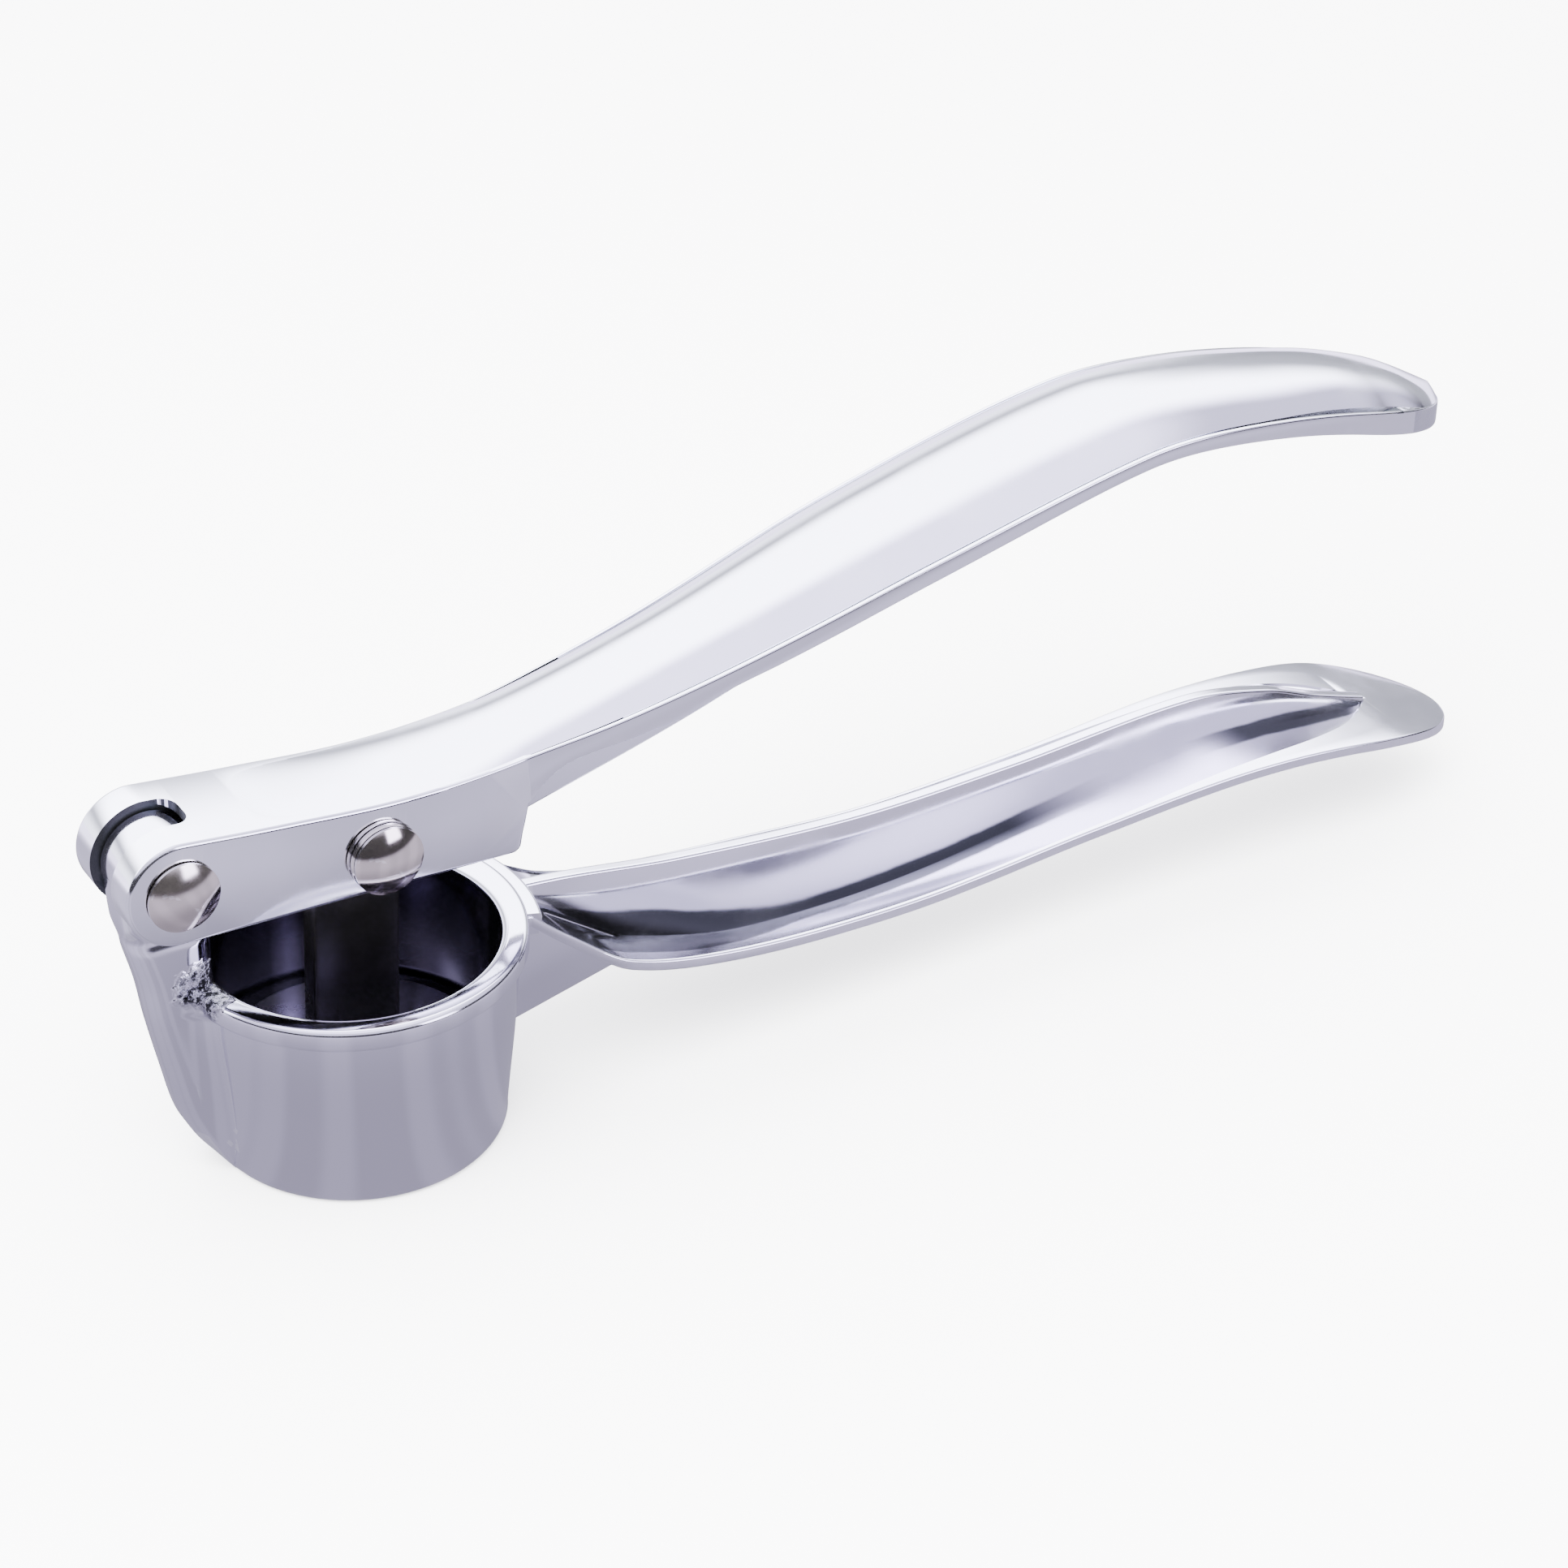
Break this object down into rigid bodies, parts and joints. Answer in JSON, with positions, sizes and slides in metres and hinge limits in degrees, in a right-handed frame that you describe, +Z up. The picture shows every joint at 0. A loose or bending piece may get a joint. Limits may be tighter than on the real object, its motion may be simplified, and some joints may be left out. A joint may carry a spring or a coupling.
{
  "type": "garlic press",
  "caption": "Hinged hand-held garlic press: a round cup with a perforated floor, a swinging plunger and two curved lever handles, all polished metal.",
  "frame": {"origin": "on the cup's axis, in the flat plane of its base", "axes": "+Z up along the cup's axis, +X from the cup along the handles, +Y across the press; the press is symmetric about the XZ plane"},
  "size_m": [0.1836, 0.04, 0.0669],
  "materials": {
    "chrome_casting": "polished chrome plate over a zinc die-casting",
    "dark_chrome": "chrome plate, unpolished",
    "nickel": "nickel-plated steel, polished",
    "stainless": "pressed stainless steel, satin"
  },
  "bodies": {
    "base": {"cup_and_lower_handle": "chrome_casting", "perforated_disc": "stainless"},
    "lever": {"upper_lever": "chrome_casting", "hinge_rivet_sleeve": "nickel", "hinge_rivet_post": "nickel", "plunger_rivet_sleeve": "nickel", "plunger_rivet_post": "nickel", "washer_right": "nickel", "washer_left": "nickel"},
    "plunger": {"plunger": "dark_chrome"}
  },
  "joints": [
    {"name": "lever_hinge", "type": "hinge", "parent": "base", "child": "lever", "pos_m": [-0.022, 0, 0.0412], "axis": [0, -1, 0], "range_deg": [-10, 40]},
    {"name": "plunger_swing", "type": "hinge", "parent": "lever", "child": "plunger", "pos_m": [0.00144, 0, 0.0385], "axis": [0, -1, 0], "range_deg": [-36, 9]}
  ],
  "couplings": [
    {"joint": "plunger_swing", "follows": "lever_hinge", "ratio": -0.89}
  ]
}
